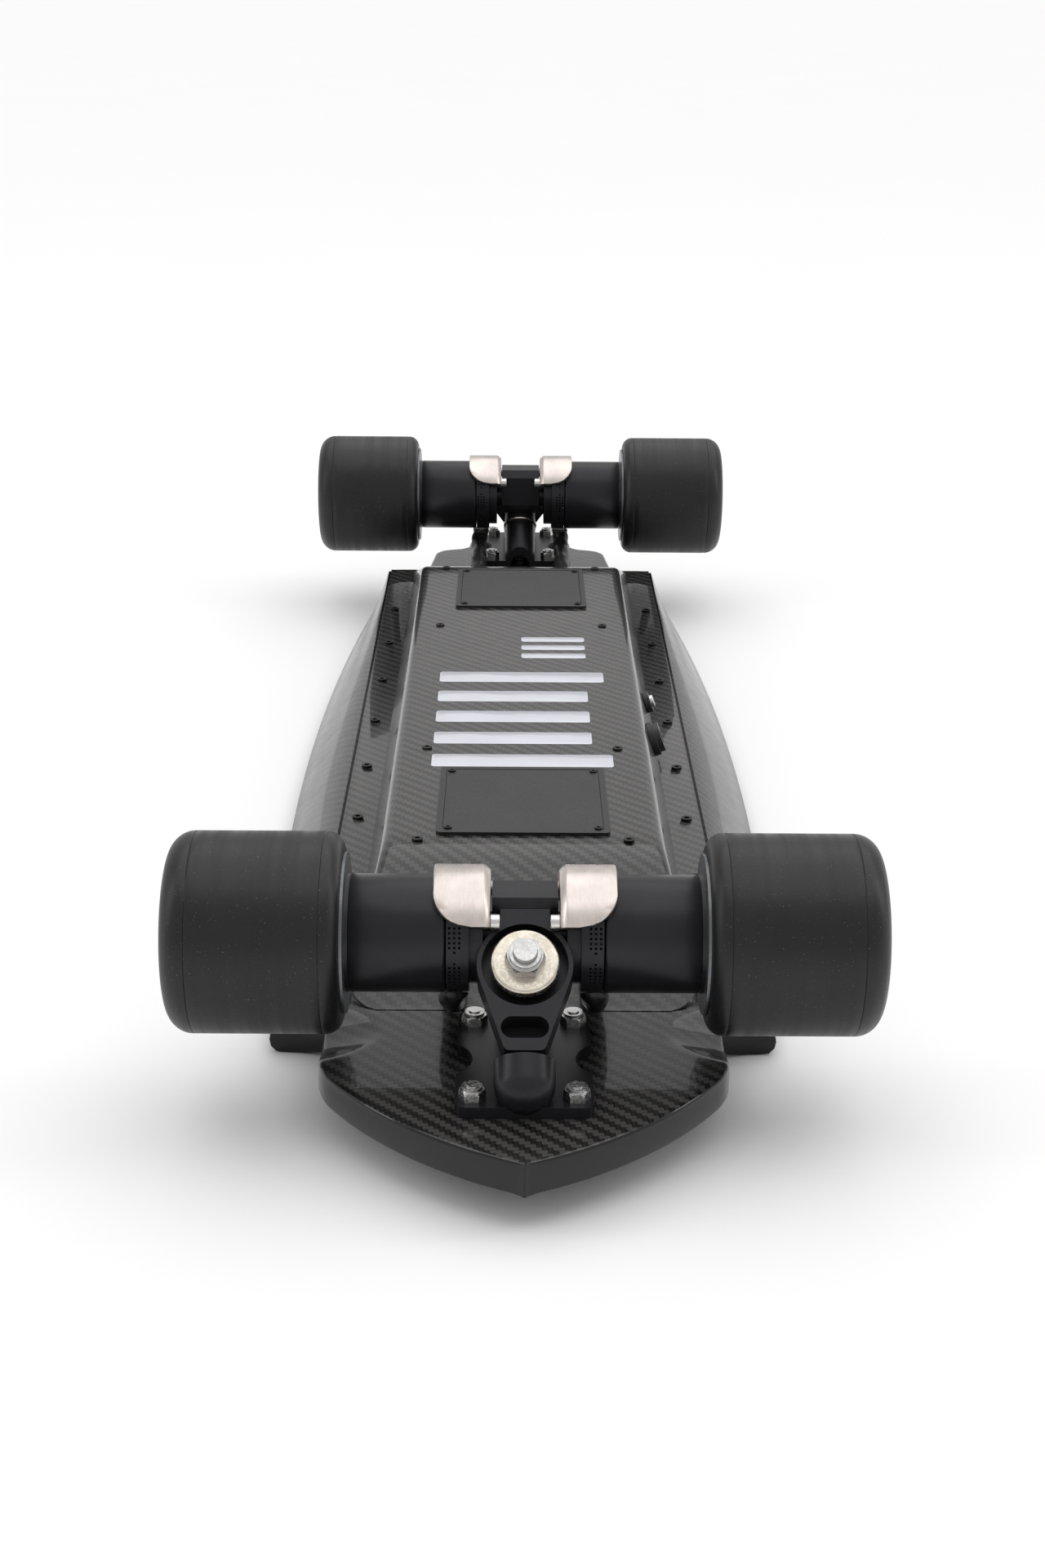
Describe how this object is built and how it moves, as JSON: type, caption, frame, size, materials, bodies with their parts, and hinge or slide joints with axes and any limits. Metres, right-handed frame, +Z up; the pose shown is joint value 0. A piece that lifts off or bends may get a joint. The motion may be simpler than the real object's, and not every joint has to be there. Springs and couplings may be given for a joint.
{
  "type": "electric skateboard",
  "caption": "Motorised carbon skateboard lying upside down: steering trucks with motor cans, wide wheels, bolted cover with hatches.",
  "frame": {"origin": "centre of the footprint on the floor: the middle of the length and width of the whole board, at the level the rails rest on", "axes": "+Z up, with the board lying upside down on its deck rails and the wheels in the air; +Y from the pointed nose to the tail; +X across the board. Turn it half a turn about Y to stand it on its wheels"},
  "size_m": [0.29, 0.9224, 0.1225],
  "materials": {
    "carbon": "gloss clear-coated twill",
    "grip": "matt, rough",
    "cell_wrap": "satin shrink wrap",
    "heat_sink": "satin",
    "black_screw": "black oxide",
    "hatch_black": "matt",
    "hatch_grey": "matt",
    "zinc": "bright zinc",
    "washer_zinc": "yellowish zinc, stained",
    "socket_black": "satin",
    "button_steel": "brushed",
    "anodised": "satin black anodised",
    "urethane": "satin",
    "cable": "satin heat-shrink",
    "steel": "bright",
    "copper": "enamelled copper",
    "guard": "brushed, warm",
    "tyre": "satin, scuffed",
    "hub": "satin grey"
  },
  "bodies": {
    "board": {"deck": "carbon", "grip_tape": "grip", "battery_pack": "cell_wrap", "motor_controller": "heat_sink", "electronics_cover": "carbon", "cover_flange_screws": "black_screw", "cover_top_screws": "black_screw", "front_hatch_frame": "hatch_black", "front_hatch_plate": "hatch_grey", "rear_hatch_frame": "hatch_black", "rear_hatch_plate": "hatch_grey", "hatch_screws": "black_screw", "power_button_bezel": "socket_black", "charge_port": "socket_black", "front_baseplate": "anodised", "rear_baseplate": "anodised", "pivot_cups": "urethane", "kingpins": "zinc", "kingpin_nuts": "zinc", "cup_washers": "washer_zinc", "front_board_bushing": "urethane", "front_road_bushing": "urethane", "rear_board_bushing": "urethane", "rear_road_bushing": "urethane", "mount_bolts": "zinc", "mount_nuts": "zinc", "front_phase_cables": "cable", "rear_phase_cables": "cable"},
    "power_button": {"power_button": "button_steel"},
    "front_truck": {"front_hanger": "anodised", "front_axle": "steel", "front_stators": "copper", "front_vent_rings": "anodised", "front_guards": "guard", "front_guard_screws": "steel", "front_axle_nuts": "steel"},
    "front_left_wheel": {"front_left_tyre": "tyre", "front_left_hub": "hub", "front_left_can": "anodised", "front_left_bearings": "steel"},
    "front_right_wheel": {"front_right_tyre": "tyre", "front_right_hub": "hub", "front_right_can": "anodised", "front_right_bearings": "steel"},
    "rear_truck": {"rear_hanger": "anodised", "rear_axle": "steel", "rear_stators": "copper", "rear_vent_rings": "anodised", "rear_guards": "guard", "rear_guard_screws": "steel", "rear_axle_nuts": "steel"},
    "rear_left_wheel": {"rear_left_tyre": "tyre", "rear_left_hub": "hub", "rear_left_can": "anodised", "rear_left_bearings": "steel"},
    "rear_right_wheel": {"rear_right_tyre": "tyre", "rear_right_hub": "hub", "rear_right_can": "anodised", "rear_right_bearings": "steel"}
  },
  "joints": [
    {"name": "front_steer", "type": "hinge", "parent": "board", "child": "front_truck", "pos_m": [0, -0.3846, 0.0734], "axis": [0, -0.7431, -0.6691], "range_deg": [-10, 10], "stiffness_Nm_per_rad": 60, "deforming": ["front_board_bushing", "front_road_bushing", "front_phase_cables"]},
    {"name": "front_left_spin", "type": "hinge", "parent": "front_truck", "child": "front_left_wheel", "pos_m": [-0.11, -0.3636, 0.081], "axis": [1, 0, 0], "continuous": true},
    {"name": "front_right_spin", "type": "hinge", "parent": "front_truck", "child": "front_right_wheel", "pos_m": [0.11, -0.3636, 0.081], "axis": [1, 0, 0], "continuous": true},
    {"name": "rear_steer", "type": "hinge", "parent": "board", "child": "rear_truck", "pos_m": [0, 0.4074, 0.0734], "axis": [0, 0.7431, -0.6691], "range_deg": [-10, 10], "stiffness_Nm_per_rad": 60, "deforming": ["rear_board_bushing", "rear_road_bushing", "rear_phase_cables"]},
    {"name": "rear_left_spin", "type": "hinge", "parent": "rear_truck", "child": "rear_left_wheel", "pos_m": [-0.11, 0.3864, 0.081], "axis": [1, 0, 0], "continuous": true},
    {"name": "rear_right_spin", "type": "hinge", "parent": "rear_truck", "child": "rear_right_wheel", "pos_m": [0.11, 0.3864, 0.081], "axis": [1, 0, 0], "continuous": true},
    {"name": "power_button_press", "type": "slide", "parent": "board", "child": "power_button", "axis": [-0.9384, 0, -0.3455], "range_m": [0, 0.0015], "stiffness_N_per_m": 400}
  ]
}
